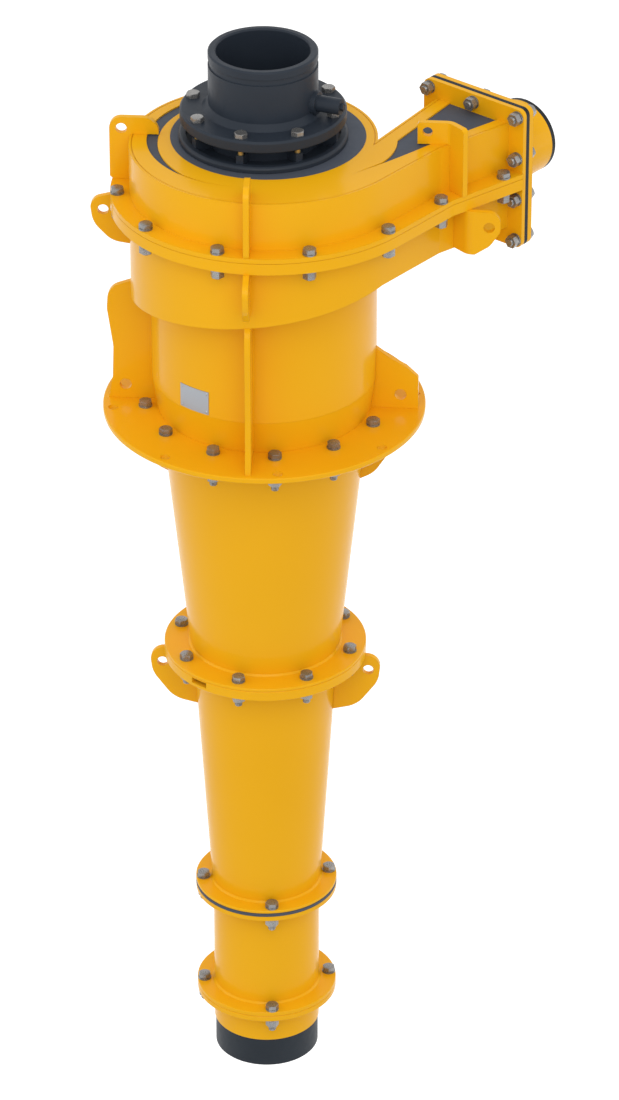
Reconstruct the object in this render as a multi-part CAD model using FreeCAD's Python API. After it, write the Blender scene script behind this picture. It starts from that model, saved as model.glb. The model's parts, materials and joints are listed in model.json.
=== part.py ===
import FreeCAD, Part
import os
from math import atan2, cos, degrees, pi, radians, sin, tan

# A 400 mm hydrocyclone, in millimetres. Slurry enters the scroll through the inlet stub, the
# coarse solids leave through the spigot at the bottom and the rest through the overflow pipe.
# The origin is on the main axis at the underside of the mounting flange; the inlet points to +X.

V = FreeCAD.Vector
ORIGIN = V(0, 0, 0)
UP = V(0, 0, 1)

# ---- Driving dimensions -----------------------------------------------------------------------
CHAMBER_R = 200.0          # inside of the lining in the round part of the casing
LINING = 20.0              # rubber lining
WALL = 8.0                 # steel shells
PLATE = 12.0               # lugs, ears, gussets and the top plate
BARREL_R = CHAMBER_R + LINING + WALL

BOLT_R = 8.0               # every bolt is M16
FLATS = 24.0               # across the flats of its head and nut
HEAD = 10.0
NUT = 14.0
HEAD_CROWN = 11.4          # radius of the flat on top of a head or nut, inside its chamfer
WASHER = 3.0
WASHER_R = 14.0
BOLT_END = 12.0            # how far a bolt stands out of its nut
SHORT_END = 4.0            # the same for the casing's own joints
BOLT_FIT = 0.75            # clearance round a bolt
SEAT = 0.4                 # clearance round a moulded or turned piece in its hole

# Scroll plan: the outer wall swells from the barrel's radius to the duct's far side.
SWELL_FROM = 10.0          # angles on plan, in degrees
SWELL_TO = 255.0
DUCT_FAR = 306.0           # far side of the inlet duct from the axis
DUCT_NEAR = 187.0          # near side
FLARE_X = 180.0            # the duct's far side spreads from here to its mouth
FLARE = 11.0
NEAR_FLARE_X = 115.0       # the same for its near side
NEAR_FLARE = 7.0
MOUTH_X = 356.0
TONGUE_X = 45.0            # tip of the lining's tongue between duct and chamber
TONGUE_RUN = 7.0
TONGUE_RISE = 22.0

# Heights of the casing.
SKIRT_TOP = 83.0
FLOOR_Z = 377.0            # underside of the spiral floor at the duct
FLOOR_FALL = 0.75          # fall of the floor for each degree back along the scroll
SPLIT_Z = 499.0            # the two casing halves meet here
TOP_Z = 609.0
SPLIT_RIM = 38.0           # how far the split flange stands out of the wall
UPPER_RIM_T = 10.0
LOWER_RIM_T = 25.0
EAR_TOP = SPLIT_Z - LOWER_RIM_T
LIFT_TOP = 652.0           # top of the lifting lug at the back; the others differ a little
SEAM = 1.0                 # step along the edge where the casing halves meet
LUG_ROUND = 24.0           # rounding of a lug about its hole

# Bolts of the split flange: a row round the scroll, then a few along the duct.
SPLIT_BOLT_OUT = 24.0      # bolt line outside the wall
SPLIT_BOLT_FROM = 268.0    # angles on plan, in degrees
SPLIT_BOLT_STEP = 32.1
SPLIT_ROUND_BOLTS = 9
SPLIT_DUCT_X = (154.3, 319.3)
DUCT_INNER_BOLT_X = 250.0

# Windows of the top plate, which show the lining.
EYE_R = 195.0
EYE_X = 8.0
EYE_Y = -6.0
WINDOW_DEPTH = 3.0
TOP_SEAM = (5.0, 6.5, 2.0)  # weld seam round the top plate: from, to inside the wall, depth

# Inlet plates.
INLET_Y = -250.0
INLET_Z = 493.0
PLATE_HALF_Y = 127.0
PLATE_HALF_Z = 153.0
PLATE_CORNER = 15.0
CASING_PLATE_T = 10.0
INLET_GASKET_T = 10.0
STUB_PLATE_T = 12.0
PLATE_FACE = MOUTH_X + CASING_PLATE_T
STUB_PLATE_X = PLATE_FACE + INLET_GASKET_T
STUB_FACE = STUB_PLATE_X + STUB_PLATE_T
STUB_R = 78.0
STUB_WALL = 6.0
STUB_END = 517.0
INLET_BORE_R = 60.0
LIP = 10.0
INLET_BOLT_Y = 112.0       # half the width of the bolt rows
INLET_BOLT_Z = 90.6        # pitch of the bolt rows

# Cover ring, vortex finder and overflow pipe.
RING_R = 169.0
RING_RIM = 15.0
RING_T = 13.0
RIB_T = 15.0
RIB_TOP = 638.0
HUB_R = 119.0
HUB_TOP = 652.0
OVERFLOW_R = 109.55        # 8 inch pipe, 219.1 mm across
OVERFLOW_BORE_R = 93.6
OVERFLOW_FLANGE_R = 166.0
OVERFLOW_FLANGE_T = 24.0
OVERFLOW_FILLET = 12.0
OVERFLOW_TOP = 800.0
GROOVE_LOW = 770.0         # groove for a pipe coupling
GROOVE_W = 13.0
GROOVE_DEPTH = 2.3
OVERFLOW_BOLT_R = 146.2
OVERFLOW_BOLTS = [-22.5 + 45 * i for i in range(8)]
TAP_R = 6.0                # threaded end of the overflow bolts, in the ribs
TAP_DEPTH = 18.0
VENT_ANGLE = -72.0
VENT_Z = 703.0
VENT_R = 16.5
VENT_BORE_R = 7.0
VENT_END = 166.0
VENT_COLLAR_R = 24.0
VENT_COLLAR_T = 8.0
VORTEX_LIP_R = 112.0
VORTEX_LIP = 12.0
VORTEX_R = 87.0
VORTEX_BORE_R = 75.0
VORTEX_END = 330.0

# Mounting flange and the joint below it. Its bolts and the skirt go by the upper cone's top.
CONE_TOP_R = 211.5
MOUNT_R = 328.0
MOUNT_T = 12.0
MOUNT_HOLE_R = 10.0
MOUNT_HOLE_PCD = 2 * (MOUNT_R - 20.0)
MOUNT_HOLES = [45 * i for i in range(8)]
MOUNT_BOLT_R = CONE_TOP_R + 30.8
MOUNT_BOLTS = [15 + 30 * i for i in range(12)]
SKIRT_FOOT_R = CONE_TOP_R + 6.5
LINER_FLANGE_R = MOUNT_BOLT_R + 19.7
LINER_FLANGE_T = 10.0
CONE_FLANGE_R = MOUNT_BOLT_R + 25.7
CONE_FLANGE_T = 22.0

# Upper cone and the middle joint, whose flanges and bolts go by the cone's foot.
CONE_TOP = -LINER_FLANGE_T
CONE_FOOT_R = 155.0982
MID_Z = -556.0             # middle joint
CONE_TAPER = (CONE_TOP_R - CONE_FOOT_R) / (CONE_TOP - MID_Z)
MID_BOLT_R = CONE_FOOT_R + 28.3018
MID_R = MID_BOLT_R + 26.2
MID_UPPER_T = 7.0
MID_LOWER_T = 22.0
MID_SEAT_R = MID_R - 13.6  # recess that holds the lower lining's flange
MID_SEAT_T = 12.0
MID_BOLTS = [-22.5 + 45 * i for i in range(8)]
SIGHT_FROM = 173.8         # sight slot in the middle joint's rim
SIGHT_TO = 184.4
WELD = 4.0                 # weld fillets at the feet of the cones

# Lower cone and spigot. The flanges and bolts go by the spigot housing's radius.
HOUSING_R = 112.0
LOW_BOLT_R = HOUSING_R + 21.5
LOW_BOLTS = [45 + 90 * i for i in range(4)]
LOW_Z = -1132.0            # top of the lower joint
LOW_R = LOW_BOLT_R + 15.8
LOW_UPPER_T = 7.0
LOW_GASKET_T = 7.0
LOW_LOWER_T = 12.0
GASKET_TOP = LOW_Z - LOW_UPPER_T
HOUSING_TOP = GASKET_TOP - LOW_GASKET_T
LOWER_CONE_TOP_R = CONE_FOOT_R - 5.3982
LOWER_CONE_FOOT_R = HOUSING_R + 2.5253
LOWER_CONE_TAPER = (LOWER_CONE_TOP_R - LOWER_CONE_FOOT_R) / (MID_Z - MID_LOWER_T - GASKET_TOP)
END_Z = -1391.0            # top of the bottom joint
END_R = LOW_BOLT_R + 14.6
END_UPPER_T = 10.0
END_LOWER_T = 13.0
HOUSING_FOOT = END_Z - END_UPPER_T
CLAMP_FOOT = HOUSING_FOOT - END_LOWER_T
CLAMP_END = -1486.0
SPIGOT_R = HOUSING_R - 2.5
SPIGOT_END = -1553.0
SPIGOT_BORE_R = 60.0
HOUSING_LINING = 29.0
HOUSING_BORE_R = HOUSING_R - WALL - HOUSING_LINING

# Upright welded plates: the heading of each, and how far it stands off the radius (anticlockwise).
UPRIGHTS = {"left": (126.0, 0.0), "front": (217.2, -17.3), "back": (62.0, 0.0)}
# Lifting lugs: reach inside and outside the wall, and the height of the top.
LIFT_LUGS = {"left": (56.0, 43.0, 645.0), "front": (50.0, 38.0, 655.0), "back": (50.0, 38.0, LIFT_TOP)}
DUCT_LUG_TOP = 656.0
BEND_R = 20.0              # middle of a bent plate's bend
DUCT_SIDE = -56.0          # heading of the short gusset under the duct
CONE_EARS = {"left": 125.0, "right": -55.0}

# Name plate on the barrel.
NAME_FROM = 173.0
NAME_TO = 191.0
NAME_LOW = 87.5
NAME_H = 51.0
NAME_T = 1.2


# ---- Helpers ----------------------------------------------------------------------------------
def polar(radius, angle, height=0.0):
    return V(radius * cos(radians(angle)), radius * sin(radians(angle)), height)


def spun(shape, angle):
    """A copy turned about the main axis."""
    turned_copy = shape.copy()
    turned_copy.rotate(ORIGIN, UP, angle)
    return turned_copy


def moved(shape, x=0.0, y=0.0, z=0.0):
    shifted = shape.copy()
    shifted.translate(V(x, y, z))
    return shifted


def turned(profile):
    """A turned piece from the (radius, height) corners of its section."""
    corners = [V(radius, 0, height) for radius, height in profile]
    return Part.Face(Part.makePolygon(corners + corners[:1])).revolve(ORIGIN, UP, 360)


def ring(outer, inner, low, high):
    return turned([(inner, low), (outer, low), (outer, high), (inner, high)])


def disc(radius, low, high, x=0.0, y=0.0):
    return Part.makeCylinder(radius, high - low, V(x, y, low))


def flange(outer, inner, low, high, edge=1.5):
    """A flat ring with its outer corners broken."""
    return turned([(inner, low), (outer - edge, low), (outer, low + edge), (outer, high - edge),
                   (outer - edge, high), (inner, high)])


def prism(edges, low, high):
    """Straight walls over a closed plan drawn at height 0."""
    face = Part.Face(Part.Wire(Part.__sortEdges__(edges)))
    return moved(face, z=low).extrude(V(0, 0, high - low))


def chain(points):
    """Straight edges through points, closed."""
    return [Part.makeLine(a, b) for a, b in zip(points, points[1:] + points[:1])]


def joined(shapes):
    return shapes[0].fuse(shapes[1:]).removeSplitter()


def hexagon(flats, low, high):
    corner = flats / 2 / cos(pi / 6)
    return prism(chain([polar(corner, 30 + 60 * i) for i in range(6)]), low, high)


def rounded(corners):
    """Closed wire in the XZ plane through (x, z, radius of the rounding) corners."""
    count = len(corners)
    places = [V(x, 0, z) for x, z, radius in corners]
    arcs = []
    ends = []
    for i in range(count):
        back = (places[i - 1] - places[i]).normalize()
        ahead = (places[(i + 1) % count] - places[i]).normalize()
        half = back.getAngle(ahead) / 2
        radius = corners[i][2]
        reach = radius / tan(half)
        ends.append((places[i] + back * reach, places[i] + ahead * reach))
        if radius:
            middle = places[i] + (back + ahead).normalize() * (radius / sin(half) - radius)
            arcs.append(Part.Arc(ends[i][0], middle, ends[i][1]).toShape())
    lines = [Part.makeLine(ends[i][1], ends[(i + 1) % count][0]) for i in range(count)
             if ends[i][1].distanceToPoint(ends[(i + 1) % count][0]) > 0.01]
    return Part.Wire(Part.__sortEdges__(arcs + lines))


def upright(corners, heading, foot=(0.0, 0.0), hole=None, hole_r=11.0):
    """A standing plate: its outline runs outward from the foot along the heading."""
    slab = moved(Part.Face(rounded(corners)), y=-PLATE / 2).extrude(V(0, PLATE, 0))
    if hole:
        slab = slab.cut(Part.makeCylinder(hole_r, 2 * PLATE, V(hole[0], -PLATE, hole[1]), V(0, 1, 0)))
    return moved(spun(slab, heading), *foot)


def hexagon_head(low, high):
    """A hexagon with its outer corners turned off."""
    corner = FLATS / 2 / cos(pi / 6)
    drop = (corner - HEAD_CROWN) * tan(pi / 6)
    blank = turned([(0, low), (corner, low), (corner, high - drop), (HEAD_CROWN, high), (0, high)])
    return hexagon(FLATS, low, high).common(blank)


def bolt(top, bottom, tail):
    """A bolt through a joint whose outer faces are at two levels, with washers at both."""
    under_head = top + WASHER
    end = bottom - WASHER - NUT - tail
    return joined([hexagon_head(under_head, under_head + HEAD), disc(BOLT_R, end, under_head)])


def nut(bottom):
    high = bottom - WASHER
    return hexagon_head(high - NUT, high).cut(disc(BOLT_R, high - NUT, high))


def standing(piece, spots):
    """A copy of a piece on each spot, with one flat toward the main axis."""
    return [moved(spun(piece, degrees(atan2(y, x))), x, y) for x, y in spots]


def lying(piece, spots):
    """A copy on each (y, z) spot of the inlet, its axis turned to +X."""
    level = piece.copy()
    level.rotate(ORIGIN, V(0, 1, 0), 90)
    return [moved(level, 0, y, z) for y, z in spots]


def save_joint(name, place, spots, top, bottom, tail=BOLT_END):
    """Bolts, nuts and both washers of a bolted joint."""
    washers = [ring(WASHER_R, BOLT_R + SEAT, low, low + WASHER) for low in (top, bottom - WASHER)]
    save(Part.Compound(place(bolt(top, bottom, tail), spots)), name + "_bolts")
    save(Part.Compound(place(nut(bottom), spots)), name + "_nuts")
    save(Part.Compound(place(washers[0], spots) + place(washers[1], spots)), name + "_washers")


def drilled(body, place, spots, low, high):
    """The body with a clearance hole for each bolt."""
    return body.cut(place(disc(BOLT_R + BOLT_FIT, low, high), spots))


def on_circle(radius, angles):
    return [(polar(radius, angle).x, polar(radius, angle).y) for angle in angles]


MOUNT_SPOTS = on_circle(MOUNT_BOLT_R, MOUNT_BOLTS)
MID_SPOTS = on_circle(MID_BOLT_R, MID_BOLTS)
LOW_SPOTS = on_circle(LOW_BOLT_R, LOW_BOLTS)


def save(shape, name):
    shape.exportStep("parts/%s.step" % name)


# ---- Scroll -----------------------------------------------------------------------------------
def wall_radius(angle):
    """Outer radius of the scroll wall at an angle on plan."""
    if angle <= SWELL_FROM:
        return BARREL_R
    share = min(1.0, (angle - SWELL_FROM) / (SWELL_TO - SWELL_FROM))
    return BARREL_R + (DUCT_FAR - BARREL_R) * (1 - cos(pi * share)) / 2


def swell_angles(steps=14):
    return [SWELL_FROM + (SWELL_TO - SWELL_FROM) * i / steps for i in range(steps + 1)]


def scroll(inset, low, high, end=MOUTH_X):
    """The casing's plan, drawn `inset` inside its outer wall, as a prism."""
    small = BARREL_R - inset
    large = DUCT_FAR - inset
    swell = Part.BSplineCurve()
    swell.interpolate([polar(wall_radius(a) - inset, a) for a in swell_angles()])
    drum = [Part.Arc(polar(small, -90), polar(small, -40), polar(small, SWELL_FROM)).toShape(),
            swell.toShape(),
            Part.Arc(polar(large, SWELL_TO), polar(large, (SWELL_TO + 270) / 2), polar(large, 270)).toShape(),
            Part.makeLine(polar(large, 270), polar(small, 270))]
    corner = FLARE_X + inset * tan(radians(FLARE / 2))
    widen = (end - corner) * tan(radians(FLARE))
    near = -DUCT_NEAR - inset
    near_corner = NEAR_FLARE_X + inset * tan(radians(NEAR_FLARE / 2))
    near_widen = (end - near_corner) * tan(radians(NEAR_FLARE))
    duct = chain([V(0, -large, 0), V(corner, -large, 0), V(end, -large - widen, 0),
                  V(end, near + near_widen, 0), V(near_corner, near, 0), V(TONGUE_X, near, 0),
                  V(TONGUE_X + TONGUE_RUN, near + TONGUE_RISE, 0), V(0, near + TONGUE_RISE, 0)])
    return joined([prism(drum, low, high), prism(duct, low, high)])


def floor_height(angle):
    return FLOOR_Z - FLOOR_FALL * (270 - angle)


def under_floor(inset):
    """The space below the spiral floor and outside the barrel, taken `inset` up and inward."""
    depth = V(0, 0, -FLOOR_Z)
    rims = []
    for radius in (BARREL_R / 2, 2 * BARREL_R):
        helix = Part.BSplineCurve()
        angles = [SWELL_FROM + (270 - SWELL_FROM) * i / 13 for i in range(14)]
        helix.interpolate([polar(radius, a, floor_height(a) + inset) for a in angles])
        rims.append(Part.Wire(helix.toShape()))
    under_ramp = Part.makeLoft(rims, False, True).Faces[0].extrude(depth)
    span = 2 * BARREL_R
    under_duct = Part.makeBox(span, span, FLOOR_Z, V(0, -span, inset))
    barrel = disc(BARREL_R - inset, -2 * FLOOR_Z, 2 * FLOOR_Z)
    return under_ramp.cut(barrel), under_duct.cut(barrel)


def lower_space(inset, low, end=MOUTH_X):
    """Scroll, spiral floor and barrel together, from a low level up to the split."""
    space = scroll(inset, low, SPLIT_Z, end)
    for cutter in under_floor(inset):
        space = space.cut(cutter)
    return space


def inlet_plate(x_low, x_high):
    """A rectangular plate with rounded corners across the inlet."""
    half_y = PLATE_HALF_Y
    half_z = PLATE_HALF_Z
    outline = rounded([(-half_y, -half_z, PLATE_CORNER), (half_y, -half_z, PLATE_CORNER),
                       (half_y, half_z, PLATE_CORNER), (-half_y, half_z, PLATE_CORNER)])
    slab = spun(Part.Face(outline), 90)
    return moved(slab, x_low, INLET_Y, INLET_Z).extrude(V(x_high - x_low, 0, 0))


def along_x(radius, x_low, x_high):
    return Part.makeCylinder(radius, x_high - x_low, V(x_low, INLET_Y, INLET_Z), V(1, 0, 0))


def slab_between(low, high):
    """All the space between two levels."""
    reach = 3 * DUCT_FAR
    return Part.makeBox(2 * reach, 2 * reach, high - low, V(-reach, -reach, low))


# ---- Casing -----------------------------------------------------------------------------------
def arc(a, b, c):
    return Part.Arc(V(*a, 0), V(*b, 0), V(*c, 0)).toShape()


def eye_window(low, high):
    return disc(EYE_R, low, high, EYE_X, EYE_Y)


def crescent_window(low, high):
    """Between the eye and the outer wall, opposite the inlet; it closes to a point."""
    ends = [polar(219, 90), polar(196, 90)]
    tip = polar(229, 209)
    waist = polar(231.5, 177)
    outer = Part.Arc(ends[0], polar(234.5, 148), tip).toShape()
    sliver = Part.Arc(tip, polar(231.3, 193), waist).toShape()
    inner = Part.Arc(waist, polar(209, 132), ends[1]).toShape()
    return prism([outer, sliver, inner, Part.makeLine(ends[1], ends[0])], low, high)


def duct_window(low, high):
    """Over the inlet duct; it runs back along the far wall to a point."""
    margin = 29.0
    far = margin - DUCT_FAR
    drop = (MOUTH_X - FLARE_X) * tan(radians(FLARE))
    edges = [arc((-20, -241), (20, -248.6), (60, -255)),
             arc((60, -255), (110, -243.5), (157, -216)),
             Part.makeLine(V(157, -216, 0), V(MOUTH_X, -190, 0)),
             Part.makeLine(V(MOUTH_X, -190, 0), V(MOUTH_X, far - drop, 0)),
             Part.makeLine(V(MOUTH_X, far - drop, 0), V(FLARE_X, far, 0)),
             arc((FLARE_X, far), (85, -263.5), (-20, -241))]
    return prism(edges, low, high)


def upper_casing():
    body = joined([scroll(0, SPLIT_Z, TOP_Z),
                   scroll(-SPLIT_RIM, SPLIT_Z, SPLIT_Z + UPPER_RIM_T),
                   inlet_plate(MOUTH_X, PLATE_FACE).common(slab_between(SPLIT_Z, 2 * TOP_Z))])
    body = body.cut(scroll(WALL, SPLIT_Z, TOP_Z - PLATE, PLATE_FACE))
    for window in (eye_window, crescent_window, duct_window):
        body = body.cut(window(TOP_Z - PLATE, TOP_Z))
    outer, inner, depth = TOP_SEAM
    body = body.cut(scroll(outer, TOP_Z - depth, TOP_Z).cut(scroll(inner, TOP_Z - depth, TOP_Z)))
    body = drilled(body, standing, split_spots(), SPLIT_Z, SPLIT_Z + UPPER_RIM_T)
    return drilled(body, lying, inlet_spots(), MOUTH_X, PLATE_FACE)


def upper_liner():
    roof = TOP_Z - PLATE
    body = joined([scroll(WALL, SPLIT_Z, roof, PLATE_FACE), eye_window(roof, TOP_Z),
                   crescent_window(roof, TOP_Z - WINDOW_DEPTH), duct_window(roof, TOP_Z - WINDOW_DEPTH)])
    body = body.cut(scroll(WALL + LINING, SPLIT_Z, roof - LINING, PLATE_FACE))
    return body.cut(disc(VORTEX_R + SEAT, roof - 2 * LINING, TOP_Z))


def lower_casing():
    rim = scroll(-SPLIT_RIM, EAR_TOP, SPLIT_Z - SEAM)
    step = scroll(SEAM - SPLIT_RIM, SPLIT_Z - SEAM, SPLIT_Z)
    plate = inlet_plate(MOUTH_X, PLATE_FACE).common(slab_between(0, SPLIT_Z))
    body = joined([lower_space(0, SKIRT_TOP), rim, step, plate])
    body = body.cut(lower_space(WALL, SKIRT_TOP, PLATE_FACE))
    body = drilled(body, standing, split_spots(), EAR_TOP, SPLIT_Z)
    return drilled(body, lying, inlet_spots(), MOUTH_X, PLATE_FACE)


def barrel_skirt():
    return turned([(SKIRT_FOOT_R - WALL, MOUNT_T), (SKIRT_FOOT_R, MOUNT_T), (BARREL_R, SKIRT_TOP),
                   (BARREL_R - WALL, SKIRT_TOP)])


def lower_liner():
    outside = BARREL_R - WALL
    foot = SKIRT_FOOT_R - WALL
    throat = CONE_TOP_R - WALL - LINING
    skirt = turned([(throat, 0), (foot, 0), (foot, MOUNT_T), (outside, SKIRT_TOP), (CHAMBER_R, SKIRT_TOP)])
    body = lower_space(WALL, SKIRT_TOP, PLATE_FACE).cut(lower_space(WALL + LINING, SKIRT_TOP, PLATE_FACE))
    return joined([body, skirt])


# ---- Split flange, lugs, ears and gussets -----------------------------------------------------
def duct_point(x, out, far=True):
    """A point that lies `out` millimetres outside one of the duct's side walls."""
    start, spread = (FLARE_X, FLARE) if far else (NEAR_FLARE_X, NEAR_FLARE)
    corner = start - out * tan(radians(spread / 2))
    widen = max(0.0, x - corner) * tan(radians(spread))
    if far:
        return x, -DUCT_FAR - out - widen
    return x, -DUCT_NEAR + out + widen


def split_spots():
    angles = [SPLIT_BOLT_FROM - SPLIT_BOLT_STEP * i for i in range(SPLIT_ROUND_BOLTS)]
    spots = [on_circle(wall_radius(a) + SPLIT_BOLT_OUT, [a])[0] for a in angles]
    spots += [duct_point(x, SPLIT_BOLT_OUT) for x in SPLIT_DUCT_X]
    spots += [duct_point(x, SPLIT_BOLT_OUT, far=False) for x in (DUCT_INNER_BOLT_X, SPLIT_DUCT_X[1])]
    return spots


def aside(heading, distance):
    """The foot of a plate that stands off the radius, anticlockwise from above."""
    return -distance * sin(radians(heading)), distance * cos(radians(heading))


def lift_lug(side):
    """Hooks over the top plate and stands on the split flange."""
    heading, off = UPRIGHTS[side]
    reach_in, reach_out, top = LIFT_LUGS[side]
    wall = wall_radius(heading)
    inner = wall - reach_in
    outer = wall + reach_out
    foot = SPLIT_Z + UPPER_RIM_T
    slab = upright([(inner, foot, 0), (wall + SPLIT_RIM - 2, foot, 0), (outer, foot + 6, 4),
                    (outer, top, LUG_ROUND), (inner, top, 32)],
                   heading, aside(heading, off), hole=(outer - LUG_ROUND, top - LUG_ROUND))
    return slab.cut(scroll(0, SPLIT_Z, TOP_Z))


def bent_plate(x, leg, tab, tab_heading, knee, hole, hole_r=11.0):
    """A plate that leaves the duct's far wall squarely and turns to another heading in a bend."""
    out_heading = -90 - FLARE
    foot = V(*duct_point(x, 0), 0)
    corner = foot + polar(knee, out_heading)
    low = min(height for run, height, rounding in leg)
    high = max(height for run, height, rounding in leg)
    back = polar(1, out_heading) if knee < 0 else polar(-1, out_heading)
    ahead = polar(1, tab_heading)
    half = back.getAngle(ahead) / 2
    centre = corner + (back + ahead).normalize() * (BEND_R / sin(half))
    ends = [centre + (corner + way * (BEND_R / tan(half)) - centre) * 3 for way in (back, ahead)]
    wedge = prism(chain([centre] + ends), low, high)
    bend = moved(ring(BEND_R + PLATE / 2, BEND_R - PLATE / 2, low, high), centre.x, centre.y).common(wedge)
    flats = [upright(leg, out_heading, (foot.x, foot.y)),
             upright(tab, tab_heading, (corner.x, corner.y), hole=hole, hole_r=hole_r)]
    return joined([bend] + [flat.cut(wedge) for flat in flats]).cut(scroll(0, 0, TOP_Z))


def duct_lug():
    """Its foot stands square to the duct; its tab turns over the top plate to the axis."""
    knee = -5.0
    run = 40.0
    foot = SPLIT_Z + UPPER_RIM_T
    top = DUCT_LUG_TOP
    return bent_plate(211.0, [(knee, foot, 0), (run, foot, 0), (run, top, 8), (knee, top, 0)],
                      [(0, foot, 0), (66, foot, 0), (66, top, 6), (0, top, 0)],
                      125.0, knee, (46, top - 20), 10.0)


def casing_ear(side):
    """Hangs below the split flange and is welded to the scroll wall."""
    heading, off = UPRIGHTS[side]
    wall = wall_radius(heading)
    slab = upright([(wall - WALL, EAR_TOP, 0), (wall + 40, EAR_TOP, 0), (wall + 86, EAR_TOP - 12, 24),
                    (wall + 79, EAR_TOP - 64, 56), (wall + 42, EAR_TOP - 104, 50),
                    (wall - WALL, EAR_TOP - 112, 0)],
                   heading, aside(heading, off), hole=(wall + 58, EAR_TOP - 35))
    return slab.cut(scroll(0, 0, SPLIT_Z))


def duct_ear():
    """The ear on the duct's far wall, bent to the heading of the short gusset."""
    run = 40.0
    low = FLOOR_Z + 2
    return bent_plate(222.6, [(0, EAR_TOP, 0), (run, EAR_TOP, 0), (run, low, 0), (0, low, 0)],
                      [(0, EAR_TOP, 0), (12, EAR_TOP, 0), (63, EAR_TOP - 3, 26), (63, EAR_TOP - 44, 24),
                       (42, EAR_TOP - 76, 34), (12, low, 0), (0, low, 0)],
                      -52.0, run, (40, EAR_TOP - 35))


def gusset(side):
    """Tall plate that carries the scroll's floor on the mounting flange."""
    heading, off = UPRIGHTS[side]
    top = floor_height(heading) + PLATE
    slab = upright([(SKIRT_FOOT_R - WALL, MOUNT_T, 0), (MOUNT_R - 12, MOUNT_T, 0), (MOUNT_R - 20, 62, 30),
                    (MOUNT_R - 22, 130, 60), (MOUNT_R - 10, top - 65, 40), (MOUNT_R - 13, top - 18, 34),
                    (BARREL_R - WALL, top + 16, 0)],
                   heading, aside(heading, off), hole=(MOUNT_R - 46, 43.5), hole_r=12.0)
    return slab.cut([lower_space(0, SKIRT_TOP), skirt_space()])


def skirt_space():
    """All that the conical skirt encloses, wall included."""
    return turned([(0, MOUNT_T), (SKIRT_FOOT_R, MOUNT_T), (BARREL_R, SKIRT_TOP), (0, SKIRT_TOP)])


def short_gusset():
    """Under the duct, where the barrel has no scroll floor above it."""
    slab = upright([(SKIRT_FOOT_R - WALL, MOUNT_T, 0), (MOUNT_R - 14, MOUNT_T, 0), (MOUNT_R - 14, 84, 8),
                    (MOUNT_R - 38, 107, 20), (BARREL_R + 30, 125, 40), (BARREL_R - WALL, 154, 0)],
                   DUCT_SIDE, hole=(MOUNT_R - 50, 43.5), hole_r=12.0)
    return slab.cut([lower_space(0, SKIRT_TOP), skirt_space()])


# ---- Inlet stub -------------------------------------------------------------------------------
def inlet_spots():
    rows = [(y, z) for y in (-INLET_BOLT_Y, INLET_BOLT_Y) for z in (-1.5, -0.5, 0.5, 1.5)]
    rows += [(0.0, -1.5), (0.0, 1.5)]
    return [(INLET_Y + y, INLET_Z + z * INLET_BOLT_Z) for y, z in rows]


def inlet_stub():
    body = joined([inlet_plate(STUB_PLATE_X, STUB_FACE), along_x(STUB_R, STUB_FACE, STUB_END)])
    body = body.cut(along_x(STUB_R - STUB_WALL, STUB_PLATE_X, STUB_END))
    return drilled(body, lying, inlet_spots(), STUB_PLATE_X, STUB_FACE)


def inlet_liner():
    body = joined([inlet_plate(PLATE_FACE, STUB_PLATE_X),
                   along_x(STUB_R - STUB_WALL, STUB_PLATE_X, STUB_END),
                   along_x(STUB_R, STUB_END, STUB_END + LIP)])
    body = body.cut(along_x(INLET_BORE_R, PLATE_FACE, STUB_END + LIP))
    return drilled(body, lying, inlet_spots(), PLATE_FACE, STUB_PLATE_X)


# ---- Overflow ---------------------------------------------------------------------------------
def overflow_pipe():
    low = HUB_TOP
    face = HUB_TOP + OVERFLOW_FLANGE_T
    groove_floor = OVERFLOW_R - GROOVE_DEPTH
    body = turned([(OVERFLOW_BORE_R, low), (OVERFLOW_FLANGE_R - 2, low), (OVERFLOW_FLANGE_R, low + 2),
                   (OVERFLOW_FLANGE_R, face - 4), (OVERFLOW_FLANGE_R - 4, face),
                   (OVERFLOW_R + OVERFLOW_FILLET, face), (OVERFLOW_R, face + OVERFLOW_FILLET),
                   (OVERFLOW_R, GROOVE_LOW), (groove_floor, GROOVE_LOW),
                   (groove_floor, GROOVE_LOW + GROOVE_W), (OVERFLOW_R, GROOVE_LOW + GROOVE_W),
                   (OVERFLOW_R, OVERFLOW_TOP - 3), (OVERFLOW_R - 3, OVERFLOW_TOP),
                   (OVERFLOW_BORE_R + 3, OVERFLOW_TOP), (OVERFLOW_BORE_R, OVERFLOW_TOP - 3)])
    heading = polar(1, VENT_ANGLE)
    start = polar(OVERFLOW_BORE_R + 4, VENT_ANGLE, VENT_Z)
    stub = Part.makeCylinder(VENT_R, VENT_END - OVERFLOW_BORE_R - 4, start, heading)
    reach = OVERFLOW_R + VENT_COLLAR_T - OVERFLOW_BORE_R - 4
    collar = Part.makeCylinder(VENT_COLLAR_R, reach, start, heading)
    body = joined([body, stub, collar])
    body = body.cut(Part.makeCylinder(VENT_BORE_R, VENT_END, V(0, 0, VENT_Z), heading))
    body = body.cut(disc(OVERFLOW_BORE_R, low, OVERFLOW_TOP))
    return drilled(body, standing, on_circle(OVERFLOW_BOLT_R, OVERFLOW_BOLTS), low, face)


def vent_plug():
    """Hexagon plug screwed into the end of the side stub."""
    plug = joined([hexagon(14, 0, 6), disc(VENT_BORE_R, -14, 0)])
    plug.rotate(ORIGIN, V(0, 1, 0), 90)
    return spun(moved(plug, VENT_END, 0, VENT_Z), VENT_ANGLE)


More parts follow.
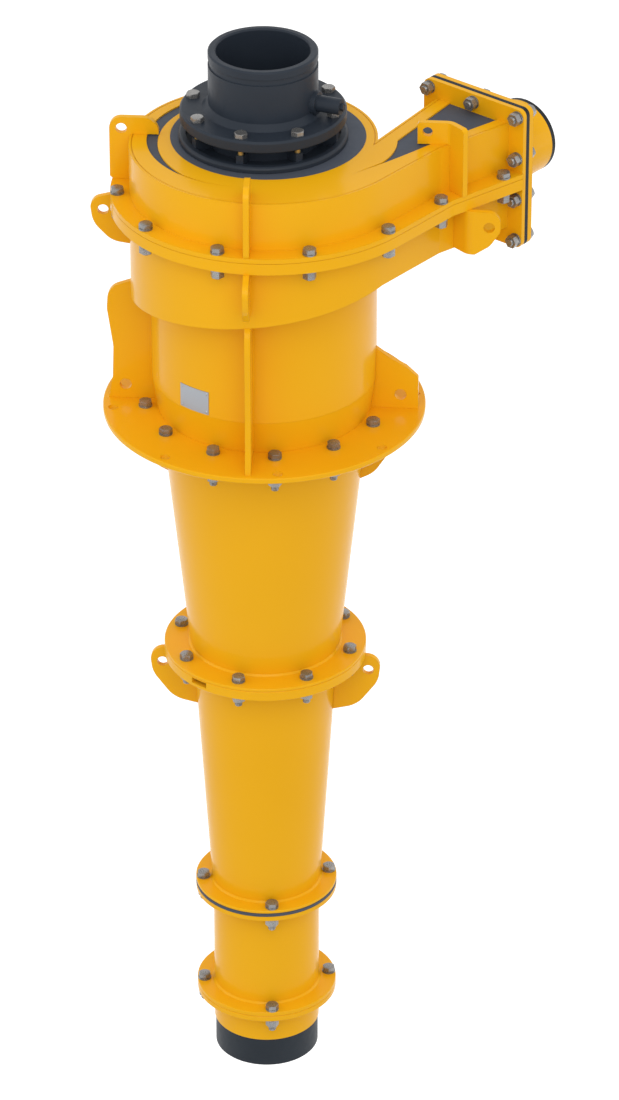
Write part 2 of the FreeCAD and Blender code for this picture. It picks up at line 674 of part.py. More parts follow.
def overflow_bolts():
    """Bolts whose slimmer threaded ends screw into the ribs of the cover ring."""
    face = HUB_TOP + OVERFLOW_FLANGE_T
    screw = joined([hexagon_head(face, face + HEAD), disc(BOLT_R, HUB_TOP - 2, face),
                    disc(TAP_R, RIB_TOP - TAP_DEPTH, HUB_TOP - 2)])
    return Part.Compound(standing(screw, on_circle(OVERFLOW_BOLT_R, OVERFLOW_BOLTS)))


def cover_ring():
    """Cast ring: eight ribs join a low rim to the hub that carries the overflow flange."""
    floor = TOP_Z + 4
    rim_in = RING_R - RING_RIM
    rim_top = TOP_Z + RING_T
    seat = HUB_TOP - VORTEX_LIP
    body = turned([(VORTEX_R + SEAT, TOP_Z), (RING_R - 1, TOP_Z), (RING_R, TOP_Z + 1),
                   (RING_R, rim_top - 5), (RING_R - 2, rim_top - 2), (RING_R - 5, rim_top),
                   (rim_in, rim_top), (rim_in, floor),
                   (HUB_R, floor), (HUB_R, HUB_TOP), (VORTEX_LIP_R + SEAT, HUB_TOP),
                   (VORTEX_LIP_R + SEAT, seat), (VORTEX_R + SEAT, seat)])
    web = Part.Face(Part.makePolygon([V(HUB_R - 4, 0, TOP_Z + 1), V(rim_in + 2, 0, TOP_Z + 1),
                                      V(rim_in + 2, 0, rim_top - 1), V(rim_in, 0, rim_top - 1),
                                      V(rim_in, 0, RIB_TOP), V(HUB_R - 4, 0, RIB_TOP),
                                      V(HUB_R - 4, 0, TOP_Z + 1)]))
    rib = moved(web, y=-RIB_T / 2).extrude(V(0, RIB_T, 0))
    body = joined([body] + [spun(rib, angle) for angle in OVERFLOW_BOLTS])
    taps = disc(TAP_R, RIB_TOP - TAP_DEPTH, RIB_TOP)
    return body.cut(standing(taps, on_circle(OVERFLOW_BOLT_R, OVERFLOW_BOLTS)))


def vortex_finder():
    lip_low = HUB_TOP - VORTEX_LIP
    return turned([(VORTEX_BORE_R, VORTEX_END), (VORTEX_R, VORTEX_END), (VORTEX_R, lip_low),
                   (VORTEX_LIP_R, lip_low), (VORTEX_LIP_R, HUB_TOP), (VORTEX_BORE_R, HUB_TOP)])


# ---- Mounting flange and cones ----------------------------------------------------------------
def mounting_flange():
    body = flange(MOUNT_R, SKIRT_FOOT_R - WALL, 0, MOUNT_T, 2)
    body = body.cut(standing(disc(MOUNT_HOLE_R, 0, MOUNT_T), on_circle(MOUNT_HOLE_PCD / 2, MOUNT_HOLES)))
    return drilled(body, standing, MOUNT_SPOTS, 0, MOUNT_T)


def cone_radius(height):
    return CONE_TOP_R - CONE_TAPER * (CONE_TOP - height)


def lower_cone_radius(height):
    return LOWER_CONE_TOP_R - LOWER_CONE_TAPER * (MID_Z - MID_LOWER_T - height)


def welded_cone(radius_at, top, top_r, top_t, foot, foot_r, foot_t, seat_r=0.0, seat_t=0.0):
    """A conical shell between two flat flanges, with weld fillets at both feet."""
    under = top - top_t
    over = foot + foot_t
    shell_top = top - seat_t
    profile = [(radius_at(foot) - WALL, foot), (foot_r - 1.5, foot), (foot_r, foot + 1.5),
               (foot_r, over - 1.5), (foot_r - 1.5, over), (radius_at(over) + WELD, over),
               (radius_at(over + WELD), over + WELD), (radius_at(under - WELD), under - WELD),
               (radius_at(under) + WELD, under), (top_r - 1.5, under), (top_r, under + 1.5),
               (top_r, top - 1.5), (top_r - 1.5, top)]
    if seat_t:
        profile += [(seat_r, top), (seat_r, shell_top)]
    profile.append((radius_at(shell_top) - WALL, shell_top))
    return turned(profile)


def upper_cone():
    body = welded_cone(cone_radius, CONE_TOP, CONE_FLANGE_R, CONE_FLANGE_T, MID_Z, MID_R, MID_UPPER_T)
    body = drilled(body, standing, MOUNT_SPOTS, CONE_TOP - CONE_FLANGE_T, CONE_TOP)
    return drilled(body, standing, MID_SPOTS, MID_Z, MID_Z + MID_UPPER_T)


def upper_cone_liner():
    inset = WALL + LINING
    body = turned([(cone_radius(MID_Z) - inset, MID_Z), (cone_radius(MID_Z) - WALL, MID_Z),
                   (cone_radius(CONE_TOP) - WALL, CONE_TOP), (LINER_FLANGE_R, CONE_TOP),
                   (LINER_FLANGE_R, 0), (cone_radius(0) - inset, 0)])
    return drilled(body, standing, MOUNT_SPOTS, CONE_TOP, 0)


def lower_cone():
    body = welded_cone(lower_cone_radius, MID_Z, MID_R, MID_LOWER_T, LOW_Z - LOW_UPPER_T, LOW_R,
                       LOW_UPPER_T, MID_SEAT_R, MID_SEAT_T)
    middle = (SIGHT_FROM + SIGHT_TO) / 2
    width = 2 * MID_R * sin(radians((SIGHT_TO - SIGHT_FROM) / 2))
    slot = Part.makeBox(2 * (MID_R - MID_SEAT_R), width, MID_SEAT_T,
                        V(MID_SEAT_R - 6, -width / 2, MID_Z - MID_SEAT_T - 2))
    body = body.cut(spun(slot, middle))
    body = drilled(body, standing, MID_SPOTS, MID_Z - MID_LOWER_T, MID_Z)
    return drilled(body, standing, LOW_SPOTS, GASKET_TOP, LOW_Z)


def lower_cone_liner():
    inset = WALL + LINING
    seat = MID_Z - MID_SEAT_T
    foot = LOW_Z - LOW_UPPER_T
    body = turned([(lower_cone_radius(foot) - inset, foot), (lower_cone_radius(foot) - WALL, foot),
                   (lower_cone_radius(seat) - WALL, seat), (MID_SEAT_R, seat), (MID_SEAT_R, MID_Z),
                   (cone_radius(MID_Z) - inset, MID_Z)])
    return drilled(body, standing, MID_SPOTS, seat, MID_Z)


def mid_ear(angle):
    """Small lifting ear under the middle joint."""
    top = MID_Z - MID_LOWER_T
    inner = MID_R - 79.6
    slab = upright([(inner, top, 0), (MID_R + 33.4, top - 3, 28), (MID_R + 26.4, top - 62, 60),
                    (MID_R - 17.6, top - 122, 60), (inner, top - 137, 0)], angle, hole=(MID_R + 5.4, top - 36))
    shell = turned([(0, LOW_Z), (lower_cone_radius(LOW_Z), LOW_Z),
                    (lower_cone_radius(top - WELD), top - WELD),
                    (lower_cone_radius(top) + WELD, top), (0, top)])
    return slab.cut(shell)


def top_ear(angle):
    """Small bracket under the upper cone's top flange."""
    top = CONE_TOP - CONE_FLANGE_T
    inner = CONE_TOP_R - 31.5
    slab = upright([(inner, top, 0), (CONE_TOP_R + 46.5, top, 0), (CONE_TOP_R + 44.5, top - 62, 40),
                    (CONE_TOP_R + 12.5, top - 112, 60), (inner, top - 134, 0)], angle,
                   hole=(CONE_TOP_R + 24.5, top - 40))
    shell = turned([(0, MID_Z), (cone_radius(MID_Z), MID_Z), (cone_radius(top - WELD), top - WELD),
                    (cone_radius(top) + WELD, top), (0, top)])
    return slab.cut(shell)


# ---- Spigot -----------------------------------------------------------------------------------
def housing_radius(height):
    return HOUSING_R


def spigot_housing():
    body = welded_cone(housing_radius, HOUSING_TOP, LOW_R, LOW_LOWER_T, HOUSING_FOOT, END_R, END_UPPER_T)
    body = drilled(body, standing, LOW_SPOTS, HOUSING_TOP - LOW_LOWER_T, HOUSING_TOP)
    return drilled(body, standing, LOW_SPOTS, HOUSING_FOOT, END_Z)


def housing_liner():
    """Lining of the spigot housing; its flange is the dark joint line below the cone."""
    outside = HOUSING_R - WALL
    mouth = lower_cone_radius(GASKET_TOP) - WALL - LINING
    body = turned([(HOUSING_BORE_R, HOUSING_FOOT), (outside, HOUSING_FOOT), (outside, HOUSING_TOP),
                   (LOW_R, HOUSING_TOP), (LOW_R, GASKET_TOP), (mouth, GASKET_TOP)])
    return drilled(body, standing, LOW_SPOTS, HOUSING_TOP, GASKET_TOP)


def spigot_clamp_ring():
    inside = HOUSING_R - WALL
    body = turned([(inside, CLAMP_END), (HOUSING_R - 1.5, CLAMP_END), (HOUSING_R, CLAMP_END + 1.5),
                   (HOUSING_R, CLAMP_FOOT), (END_R - 1.5, CLAMP_FOOT), (END_R, CLAMP_FOOT + 1.5),
                   (END_R, HOUSING_FOOT - 1.5), (END_R - 1.5, HOUSING_FOOT), (inside, HOUSING_FOOT)])
    return drilled(body, standing, LOW_SPOTS, CLAMP_FOOT, HOUSING_FOOT)


def spigot():
    """Rubber apex: the wear part that sets the coarse outlet."""
    inside = HOUSING_R - WALL
    return turned([(SPIGOT_BORE_R, SPIGOT_END), (SPIGOT_R - 2, SPIGOT_END), (SPIGOT_R, SPIGOT_END + 2),
                   (SPIGOT_R, CLAMP_END), (inside, CLAMP_END), (inside, HOUSING_FOOT),
                   (HOUSING_BORE_R, HOUSING_FOOT), (SPIGOT_BORE_R, CLAMP_FOOT)])


# ---- Name plate -------------------------------------------------------------------------------
def name_plate():
    """A thin blank plate bent round the barrel."""
    shell = ring(BARREL_R + NAME_T, BARREL_R, NAME_LOW, NAME_LOW + NAME_H)
    middle = (NAME_FROM + NAME_TO) / 2
    width = 2 * BARREL_R * sin(radians((NAME_TO - NAME_FROM) / 2))
    field = Part.makeBox(3 * WALL, width, NAME_H, V(BARREL_R - WALL, -width / 2, NAME_LOW))
    return shell.common(spun(field, middle))


def name_rivets():
    solids = []
    rivet = Part.makeCone(3.0, 1.8, 1.2, V(BARREL_R + NAME_T, 0, 0), V(1, 0, 0))
    for angle in (NAME_FROM + 1.4, NAME_TO - 1.4):
        for height in (NAME_LOW + 5, NAME_LOW + NAME_H - 5):
            solids.append(moved(spun(rivet, angle), z=height))
    return Part.Compound(solids)


# ---- Build ------------------------------------------------------------------------------------
os.makedirs("parts", exist_ok=True)

save(overflow_pipe(), "overflow_pipe")
save(vent_plug(), "vent_plug")
save(overflow_bolts(), "overflow_bolts")
save(cover_ring(), "cover_ring")
save(vortex_finder(), "vortex_finder")
save(upper_casing(), "upper_casing")
save(upper_liner(), "upper_liner")
save(lower_casing(), "lower_casing")
save(lower_liner(), "lower_liner")
save_joint("split", standing, split_spots(), SPLIT_Z + UPPER_RIM_T, EAR_TOP, SHORT_END)
for side in UPRIGHTS:
    save(lift_lug(side), "lift_lug_" + side)
    save(casing_ear(side), "casing_ear_" + side)
    save(gusset(side), "gusset_" + side)
save(duct_lug(), "lift_lug_duct")
save(duct_ear(), "casing_ear_duct")
save(short_gusset(), "gusset_duct")
save(inlet_stub(), "inlet_stub")
save(inlet_liner(), "inlet_liner")
save_joint("inlet", lying, inlet_spots(), STUB_FACE, MOUTH_X, SHORT_END)
save(barrel_skirt(), "barrel_skirt")
save(mounting_flange(), "mounting_flange")
save(name_plate(), "name_plate")
save(name_rivets(), "name_plate_rivets")
save(upper_cone(), "upper_cone")
save(upper_cone_liner(), "upper_cone_liner")
save_joint("mounting", standing, MOUNT_SPOTS, MOUNT_T, CONE_TOP - CONE_FLANGE_T)
save_joint("mid", standing, MID_SPOTS, MID_Z + MID_UPPER_T, MID_Z - MID_LOWER_T)
for side, angle in CONE_EARS.items():
    save(top_ear(angle), "cone_top_ear_" + side)
    save(mid_ear(angle), "mid_ear_" + side)
save(lower_cone(), "lower_cone")
save(lower_cone_liner(), "lower_cone_liner")
save(spigot_housing(), "spigot_housing")
save(housing_liner(), "housing_liner")
save_joint("lower", standing, LOW_SPOTS, LOW_Z, HOUSING_TOP - LOW_LOWER_T)
save(spigot_clamp_ring(), "spigot_clamp_ring")
save(spigot(), "spigot")
save_joint("bottom", standing, LOW_SPOTS, END_Z, CLAMP_FOOT)
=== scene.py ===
# %% [markdown]
# # Dressing a 400 mm slurry hydrocyclone
# The construction comes in as a finished, measured model: a scroll casing with its inlet, two long
# cones, a spigot and all the plates and bolts. This file gives every surface its real finish, cuts
# the threads of the bolt ends, and sets up a plain studio.
#
# All lengths are in metres, in the object's own frame: the axis is Z, and the inlet points to +X.

# %% Load the measured model
import json
from math import cos, pi, radians, sin

import bmesh
import bpy
from mathutils import Matrix, Vector


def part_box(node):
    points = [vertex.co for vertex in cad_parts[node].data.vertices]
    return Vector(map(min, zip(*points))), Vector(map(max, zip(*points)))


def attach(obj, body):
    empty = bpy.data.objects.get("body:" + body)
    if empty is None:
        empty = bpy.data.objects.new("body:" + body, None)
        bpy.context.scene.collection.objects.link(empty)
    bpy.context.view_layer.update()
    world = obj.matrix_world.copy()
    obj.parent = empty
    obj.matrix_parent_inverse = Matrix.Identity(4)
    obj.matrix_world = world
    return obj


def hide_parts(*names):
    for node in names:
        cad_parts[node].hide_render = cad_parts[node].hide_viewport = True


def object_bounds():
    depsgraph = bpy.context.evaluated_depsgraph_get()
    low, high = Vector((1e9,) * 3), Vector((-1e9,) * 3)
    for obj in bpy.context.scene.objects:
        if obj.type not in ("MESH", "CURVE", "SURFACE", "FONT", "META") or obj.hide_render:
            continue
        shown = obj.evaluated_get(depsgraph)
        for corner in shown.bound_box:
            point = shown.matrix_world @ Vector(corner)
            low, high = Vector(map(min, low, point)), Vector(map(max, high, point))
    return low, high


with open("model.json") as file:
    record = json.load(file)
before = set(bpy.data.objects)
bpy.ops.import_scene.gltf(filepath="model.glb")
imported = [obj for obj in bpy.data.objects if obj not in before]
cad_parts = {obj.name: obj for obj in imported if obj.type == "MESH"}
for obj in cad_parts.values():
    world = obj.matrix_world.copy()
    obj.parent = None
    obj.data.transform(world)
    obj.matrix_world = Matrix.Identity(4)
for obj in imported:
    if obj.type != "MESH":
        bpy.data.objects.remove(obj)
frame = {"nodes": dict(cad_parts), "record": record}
cad_low, cad_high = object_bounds()
nodes = frame["nodes"]
slot_of = {part["node"]: part["material_slot"] for part in frame["record"]["subparts"]}
scene = bpy.context.scene
print("nodes:", len(nodes), "height:", round(cad_high.z - cad_low.z, 3))

# %% [markdown]
# ## Camera
# A tall object looks natural through a long lens from far away: its cylinders stay nearly parallel.
# The camera stands 11 m off at a heading of -50 degrees, 6 m above the mounting flange, and looks
# down at 30 degrees. It stands a little beside the axis, so that the inlet stub fits too.

# %% Camera
HEADING = radians(-50.3)
PITCH = radians(30.02)
DISTANCE = 11.069
BESIDE_AXIS = 0.0917
EYE_HEIGHT = 6.056
SENSOR_MM = 36.0
LENS_MM = 202.9

camera_data = bpy.data.cameras.new("camera")
camera_data.sensor_width = SENSOR_MM
camera_data.lens = LENS_MM
camera_data.clip_end = 200.0
camera = bpy.data.objects.new("camera", camera_data)
scene.collection.objects.link(camera)
camera.location = Matrix.Rotation(HEADING, 3, "Z") @ Vector((BESIDE_AXIS, -DISTANCE, EYE_HEIGHT))
camera.rotation_euler = (pi / 2 - PITCH, 0.0, HEADING)
scene.camera = camera
print("camera at", [round(c, 3) for c in camera.location])

# %% [markdown]
# ## Shader expressions
# A finish is a recipe, so it reads best as one. `Field` wraps a node's output socket and lets plain
# arithmetic add the Math nodes: `1 - mask` is then a Subtract node. `Finish` owns a material, and
# its `add` is the only way that any other node is made.

# %% Shader expressions
class Field:
    """A number that varies over a surface; arithmetic on it adds Math nodes."""

    def __init__(self, finish, socket):
        self.finish = finish
        self.socket = socket

    def combine(self, operation, first, second):
        return self.finish.add("ShaderNodeMath", {"operation": operation}, {0: first, 1: second})

    def __add__(self, other):
        return self.combine("ADD", self, other)

    def __radd__(self, other):
        return self.combine("ADD", other, self)

    def __sub__(self, other):
        return self.combine("SUBTRACT", self, other)

    def __rsub__(self, other):
        return self.combine("SUBTRACT", other, self)

    def __mul__(self, other):
        return self.combine("MULTIPLY", self, other)

    def __rmul__(self, other):
        return self.combine("MULTIPLY", other, self)


class Finish:
    """A material, and the nodes that its recipe adds."""

    def __init__(self, name, nodes_in="material"):
        self.made = bpy.data.materials.new(name) if nodes_in == "material" else bpy.data.worlds.new(name)
        self.made.use_nodes = True
        self.tree = self.made.node_tree

    def add(self, kind, settings=None, sockets=None, output=0):
        """A node of a kind: its settings are set first, then its sockets get values or links."""
        node = self.tree.nodes.new(kind)
        for setting, value in (settings or {}).items():
            setattr(node, setting, value)
        for socket, value in (sockets or {}).items():
            self.feed(node.inputs[socket], value)
        return Field(self, node.outputs[output])

    def feed(self, socket, value):
        if isinstance(value, Field):
            self.tree.links.new(value.socket, socket)
        else:
            socket.default_value = value

    def surface(self, values):
        """Sets the Principled shader's sockets."""
        shader = self.tree.nodes["Principled BSDF"]
        for socket, value in values.items():
            self.feed(shader.inputs[socket], value)

    def place(self):
        """The point's own place in the object's frame, in metres."""
        return self.add("ShaderNodeTexCoord", output=3)

    def noise(self, scale, detail=2.0, roughness=0.5):
        return self.add("ShaderNodeTexNoise", {}, {"Vector": self.place(), "Scale": scale,
                                                   "Detail": detail, "Roughness": roughness})

    def spread(self, field, low, high, to_low, to_high):
        """Maps one range of numbers onto another, with no value outside it."""
        return self.add("ShaderNodeMapRange", {}, {0: field, 1: low, 2: high, 3: to_low, 4: to_high})

    def blend(self, mask, first, second):
        """A colour between two, by a mask from 0 to 1."""
        return self.add("ShaderNodeMix", {"data_type": "RGBA"}, {0: mask, 6: first, 7: second}, output=2)

    def height(self, field, distance, strength, base):
        """A bump of a real depth, on top of another normal."""
        return self.add("ShaderNodeBump", {}, {"Strength": strength, "Distance": distance,
                                               "Height": field, "Normal": base})

    def softened(self, radius):
        """Normals that round every edge by a small radius, as paint and deburring do."""
        return self.add("ShaderNodeBevel", {"samples": 4}, {"Radius": radius})


print("shader expressions ready")

# %% [markdown]
# ## Studio
# The light is plain and soft: an even pale surround does most of the work. A large lamp in front
# shapes the round walls, and two weaker ones at the sides keep their edges from going dull. They
# are set so that a colour renders about as it is written. The background is white because camera,
# mirror and glass rays see a white world, and a floor that glows a little for them; no surface is
# lit by that glow. The cyclone hangs by its mounting flange in a plant's frame, so the floor lies
# well below the spigot.

# %% Studio
FLOOR_DROP = 0.9
FLOOR_HALF = 60.0
FLOOR_GREY = (0.72, 0.72, 0.72, 1.0)
FLOOR_GLOW = 0.6
WHITE = (1.0, 1.0, 1.0, 1.0)
SURROUND_SEEN = 1.0
SURROUND_LIGHT = 0.86


def see_white(finish, seen, unseen):
    """A strength that camera, mirror and glass rays get instead of the plain one."""
    path = finish.add("ShaderNodeLightPath")
    glossy = Field(finish, path.socket.node.outputs["Is Glossy Ray"])
    clear = Field(finish, path.socket.node.outputs["Is Transmission Ray"])
    direct = path.combine("MAXIMUM", path, glossy)
    direct = path.combine("MAXIMUM", direct, clear)
    return direct * (seen - unseen) + unseen


def studio_world():
    surround = Finish("pale_surround", "world")
    sockets = surround.tree.nodes["Background"].inputs
    surround.feed(sockets["Color"], WHITE)
    surround.feed(sockets["Strength"], see_white(surround, SURROUND_SEEN, SURROUND_LIGHT))
    scene.world = surround.made


def studio_floor():
    mesh = bpy.data.meshes.new("studio_floor")
    plan = bmesh.new()
    bmesh.ops.create_grid(plan, x_segments=8, y_segments=8, size=FLOOR_HALF)
    plan.to_mesh(mesh)
    plan.free()
    floor = bpy.data.objects.new("studio_floor", mesh)
    floor.location = (0.0, 0.0, cad_low.z - FLOOR_DROP)
    scene.collection.objects.link(floor)
    pale = Finish("pale_floor")
    pale.surface({"Base Color": FLOOR_GREY, "Roughness": 0.9, "Specular IOR Level": 0.0})
    glow = see_white(pale, 1.0, 0.0)
    shader = pale.tree.nodes["Principled BSDF"]
    lit = Field(pale, shader.outputs[0])
    white = pale.add("ShaderNodeEmission", {}, {"Color": WHITE, "Strength": FLOOR_GLOW})
    both = pale.add("ShaderNodeAddShader", {}, {0: lit, 1: white})
    mixed = pale.add("ShaderNodeMixShader", {}, {0: glow, 1: lit, 2: both})
    pale.feed(pale.tree.nodes["Material Output"].inputs["Surface"], mixed)
    mesh.materials.append(pale.made)
    return floor


def lamp(name, heading, elevation, distance, size, watts):
    """A square soft lamp that faces the middle of the object."""
    light = bpy.data.lights.new(name, "AREA")
    light.size = size
    light.energy = watts
    holder = bpy.data.objects.new(name, light)
    middle = (cad_low + cad_high) / 2
    away = Vector((sin(heading) * cos(elevation), -cos(heading) * cos(elevation), sin(elevation)))
    holder.location = middle + distance * away
    holder.rotation_mode = "QUATERNION"
    holder.rotation_quaternion = (-away).to_track_quat("-Z", "Y")
    scene.collection.objects.link(holder)
    return holder


scene.view_settings.view_transform = "Standard"
studio_world()
studio_floor()
lamp("key_lamp", HEADING, radians(42), 6.0, 3.5, 85.0)
lamp("left_lamp", HEADING - radians(85), radians(20), 6.0, 3.0, 30.0)
lamp("right_lamp", HEADING + radians(110), radians(6), 6.0, 3.0, 35.0)
print("studio ready")

# %% [markdown]
# ## Yellow paint
# Semi-gloss two-pack enamel over blasted steel. Its colour hardly varies; what makes it look like
# paint is a thin clear gloss over a duller base, and edges that the paint has rounded.

# %% Yellow paint
def yellow_paint():
    paint = Finish("yellow_enamel")
    cloud = paint.spread(paint.noise(3.0), 0.35, 0.65, 0.0, 1.0)
    colour = paint.blend(cloud, (0.865, 0.43, 0.006, 1.0), (0.885, 0.445, 0.008, 1.0))
    gloss = paint.spread(paint.noise(40.0), 0.3, 0.7, 0.34, 0.4)
    paint.surface({"Base Color": colour, "Roughness": gloss, "Normal": paint.softened(0.0016),
                   "Specular IOR Level": 0.04, "Coat Weight": 0.55, "Coat Roughness": 0.16,
                   "Coat IOR": 1.22})
    return paint.made


# %% [markdown]
# ## Dark paint
# The overflow pipe and its cover ring are castings under a blue-black coating: the same softened
# edges, a duller gloss, and the fine grain of a cast skin.

# %% Dark paint
def dark_paint():
    paint = Finish("blue_black_coating")
    cloud = paint.spread(paint.noise(6.0), 0.3, 0.7, 0.0, 1.0)
    colour = paint.blend(cloud, (0.022, 0.029, 0.041, 1.0), (0.026, 0.034, 0.047, 1.0))
    grain = paint.noise(420.0, 3.0, 0.6)
    gloss = paint.spread(paint.noise(60.0), 0.3, 0.7, 0.38, 0.46)
    paint.surface({"Base Color": colour, "Roughness": gloss, "Specular IOR Level": 0.18,
                   "Normal": paint.height(grain, 0.0001, 0.5, paint.softened(0.0018))})
    return paint.made


# %% [markdown]
# ## Rubber
# The linings show through the windows of the top plate as a flat slate-grey skin. The inlet lining
# and the spigot are blacker. Moulded rubber has a soft sheen and a fine, even pimple.

# %% Rubber
def rubber(name, low, high, roughness):
    skin = Finish(name)
    cloud = skin.spread(skin.noise(9.0), 0.3, 0.7, 0.0, 1.0)
    grain = skin.noise(600.0, 2.0)
    gloss = skin.spread(skin.noise(80.0), 0.3, 0.7, roughness - 0.04, roughness + 0.04)
    skin.surface({"Base Color": skin.blend(cloud, low, high), "Roughness": gloss,
                  "Normal": skin.height(grain, 0.0001, 0.5, skin.softened(0.0015)),
                  "Specular IOR Level": 0.2})
    return skin.made


# %% [markdown]
# ## Zinc-plated fasteners
# Dull zinc has a slightly streaky, half-matt metal reflection. Every bolt differs a little
# in tone, so the noise is coarse enough to change from one bolt to the next. The shanks of the
# overflow bolts show between the flange and the ribs, and there a brass colour is a painted
# reflection of the yellow paint around them. The name plate is a bare satin sheet.

# %% Zinc
DULL_ZINC = (0.23, 0.225, 0.22, 1.0)
CLEAN_ZINC = (0.32, 0.315, 0.305, 1.0)
# The brass colour below is a painted reflection of the yellow paint around the overflow bolt shanks.
PAINTED_REFLECTION = (0.42, 0.34, 0.16, 1.0)
PAINTED_REFLECTION_EDGE = 0.001         # the height over which the painted brass-coloured reflection gives way to zinc


def zinc(name, painted_reflection_below=None):
    """Zinc plating, with a brass colour below a height if one is given, as a painted reflection of the
    yellow paint.
    """
    plating = Finish(name)
    tone = plating.spread(plating.noise(22.0), 0.35, 0.65, 0.0, 1.0)
    colour = plating.blend(tone, DULL_ZINC, CLEAN_ZINC)
    # Below the height, the colour is the brass-coloured painted reflection.
    if painted_reflection_below:
        level = plating.add("ShaderNodeSeparateXYZ", {}, {0: plating.place()}, output=2)
        above = plating.spread(level, painted_reflection_below, painted_reflection_below + PAINTED_REFLECTION_EDGE, 0.0, 1.0)
        colour = plating.blend(above, PAINTED_REFLECTION, colour)
    streak = plating.noise(700.0, 2.0)
    gloss = plating.spread(streak, 0.3, 0.7, 0.22, 0.34)
    plating.surface({"Base Color": colour, "Metallic": 0.7, "Roughness": gloss,
                     "Normal": plating.height(streak, 0.00005, 0.4, plating.softened(0.0008))})
    return plating.made


def plate_metal():
    sheet = Finish("satin_plate")
    grain = sheet.noise(500.0, 2.0)
    sheet.surface({"Base Color": (0.36, 0.39, 0.43, 1.0), "Metallic": 0.6,
                   "Roughness": sheet.spread(grain, 0.3, 0.7, 0.3, 0.42)})
    return sheet.made


# %% [markdown]
# ## A finish for each node
# The record names a material slot for every node, and each slot has one finish. Two nodes get their
# own: the overflow bolts, whose painted brass-coloured reflection begins under the pipe's flange, and
# the inlet lining, whose rubber is the darkest.

# %% Give each node its finish
finishes = {
    "yellow_paint": yellow_paint(),
    "dark_paint": dark_paint(),
    "lining_rubber": rubber("lining_rubber", (0.068, 0.080, 0.104, 1.0),
                            (0.076, 0.088, 0.113, 1.0), 0.62),
    "black_rubber": rubber("black_rubber", (0.014, 0.020, 0.028, 1.0),
                           (0.018, 0.025, 0.034, 1.0), 0.5),
    "zinc_steel": zinc("zinc_plating"),
    "plate_metal": plate_metal(),
}
for name, node in nodes.items():
    for holder in node.material_slots:
        holder.material = finishes[slot_of[name]]
shank_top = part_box("overflow_pipe")[0].z
own_finishes = {
    # The overflow bolt shanks get the painted brass-coloured reflection below the pipe's flange.
    "overflow_bolts": zinc("zinc_and_painted_reflection", shank_top),
    "inlet_liner": rubber("inlet_rubber", (0.009, 0.012, 0.015, 1.0),
                          (0.012, 0.015, 0.019, 1.0), 0.5),
}
for name, finish in own_finishes.items():
    for holder in nodes[name].material_slots:
        holder.material = finish
print("finished nodes:", len(nodes))

# %% [markdown]
# ## Threaded bolt ends
# Each bolt's end stands out of its nut, and there its thread shows. The measured bolts have plain
# shanks, so each set is copied, cut off just inside the outer face of its nuts, and given a real
# M16 thread from there to the chamfered end.

# %% Threaded bolt ends
THREAD_PITCH = 0.002
THREAD_CREST = 0.008
THREAD_ROOT = 0.00695
THREAD_SIDES = 24
ROWS_A_TURN = 4
END_CHAMFER = 0.0014
SUNK = 0.0004              # how deep inside its nut the thread starts
MERGE = 1e-6
SHARP = radians(25)
DOWN = Vector((0.0, 0.0, -1.0))
JOINT_AXES = {"split": DOWN, "inlet": Vector((-1.0, 0.0, 0.0)), "mounting": DOWN, "mid": DOWN,
              "lower": DOWN, "bottom": DOWN}


def islands(mesh):
    """The separate bodies of a mesh, each as a list of its vertices."""
    met = set()
    found = []
    for seed in mesh.verts:
        if seed in met:
            continue
        met.add(seed)
        body = [seed]
        for vert in body:
            for edge in vert.link_edges:
                other = edge.other_vert(vert)
                if other not in met:
                    met.add(other)
                    body.append(other)
        found.append(body)
    return found


def thread_radius(along, turn, length):
    """The thread's radius at a distance along it and a share of a turn."""
    phase = (along / THREAD_PITCH - turn) % 1.0
    ridge = THREAD_ROOT + (THREAD_CREST - THREAD_ROOT) * (1.0 - abs(2.0 * phase - 1.0))
    return min(ridge, THREAD_CREST - max(0.0, along - (length - END_CHAMFER)))


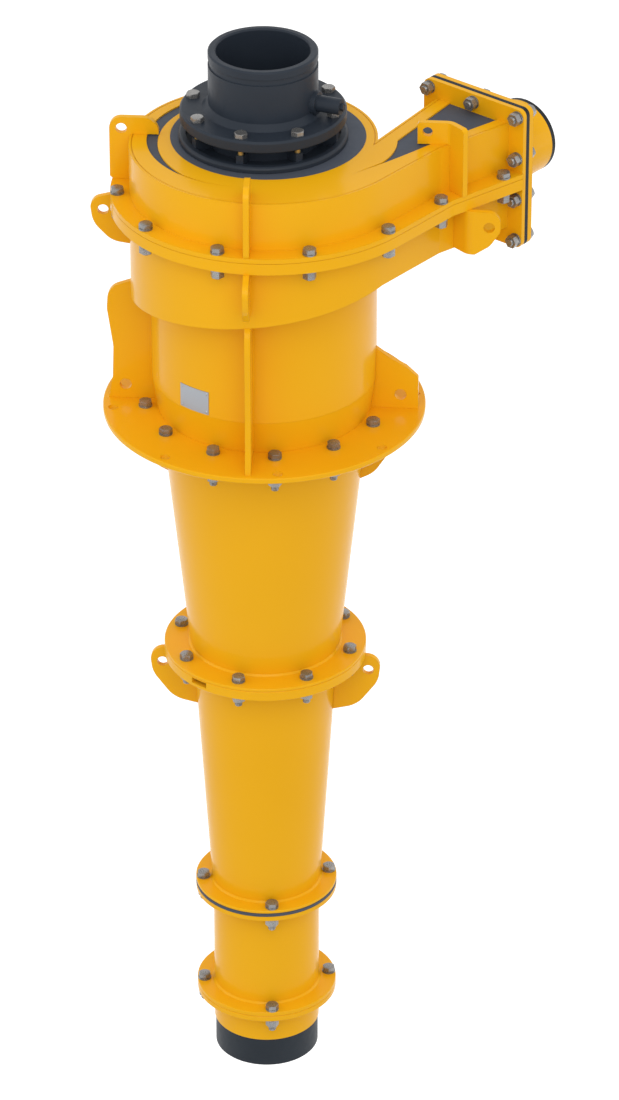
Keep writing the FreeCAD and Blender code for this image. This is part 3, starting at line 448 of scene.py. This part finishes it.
def add_thread(mesh, start, axis, length):
    """A threaded rod end from a point along an axis, closed at both ends."""
    across = axis.orthogonal().normalized()
    beside = axis.cross(across)
    step = THREAD_PITCH / ROWS_A_TURN
    rows = []
    for row in range(round(length / step) + 1):
        along = min(row * step, length)
        ring = []
        for side in range(THREAD_SIDES):
            turn = side / THREAD_SIDES
            out = cos(2 * pi * turn) * across + sin(2 * pi * turn) * beside
            radius = thread_radius(along, turn, length)
            ring.append(mesh.verts.new(start + along * axis + radius * out))
        rows.append(ring)
    for upper, lower in zip(rows, rows[1:]):
        for side in range(THREAD_SIDES):
            after = (side + 1) % THREAD_SIDES
            mesh.faces.new((upper[side], upper[after], lower[after], lower[side]))
    mesh.faces.new(rows[0][::-1])
    mesh.faces.new(rows[-1])


def threaded_bolts(joint, axis):
    """The bolts of a joint, with a thread on each end that stands out of its nut."""
    face = max(corner.dot(axis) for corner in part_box(joint + "_nuts"))
    end = max(corner.dot(axis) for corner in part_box(joint + "_bolts"))
    mesh = bmesh.new()
    mesh.from_mesh(nodes[joint + "_bolts"].data)
    bmesh.ops.remove_doubles(mesh, verts=mesh.verts, dist=MERGE)
    everything = mesh.verts[:] + mesh.edges[:] + mesh.faces[:]
    cut = (face - SUNK) * axis
    bmesh.ops.bisect_plane(mesh, geom=everything, plane_co=cut, plane_no=axis, clear_outer=True)
    bmesh.ops.holes_fill(mesh, edges=[edge for edge in mesh.edges if edge.is_boundary], sides=0)
    starts = []
    for body in islands(mesh):
        reach = [[vert.co[i] for vert in body] for i in range(3)]
        middle = Vector([(min(values) + max(values)) / 2 for values in reach])
        starts.append(middle + (face - SUNK - middle.dot(axis)) * axis)
    for start in starts:
        add_thread(mesh, start, axis, end - face + SUNK)
    bmesh.ops.recalc_face_normals(mesh, faces=mesh.faces)
    data = bpy.data.meshes.new(joint + "_threaded_bolts")
    mesh.to_mesh(data)
    mesh.free()
    for polygon in data.polygons:
        polygon.use_smooth = True
    data.set_sharp_from_angle(angle=SHARP)
    data.materials.append(finishes["zinc_steel"])
    bolts = bpy.data.objects.new(joint + "_threaded_bolts", data)
    scene.collection.objects.link(bolts)
    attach(bolts, "root")
    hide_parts(joint + "_bolts")
    return bolts, len(starts)


for joint, axis in JOINT_AXES.items():
    bolts, count = threaded_bolts(joint, axis)
    print(bolts.name, count, "bolts", len(bolts.data.polygons), "faces")
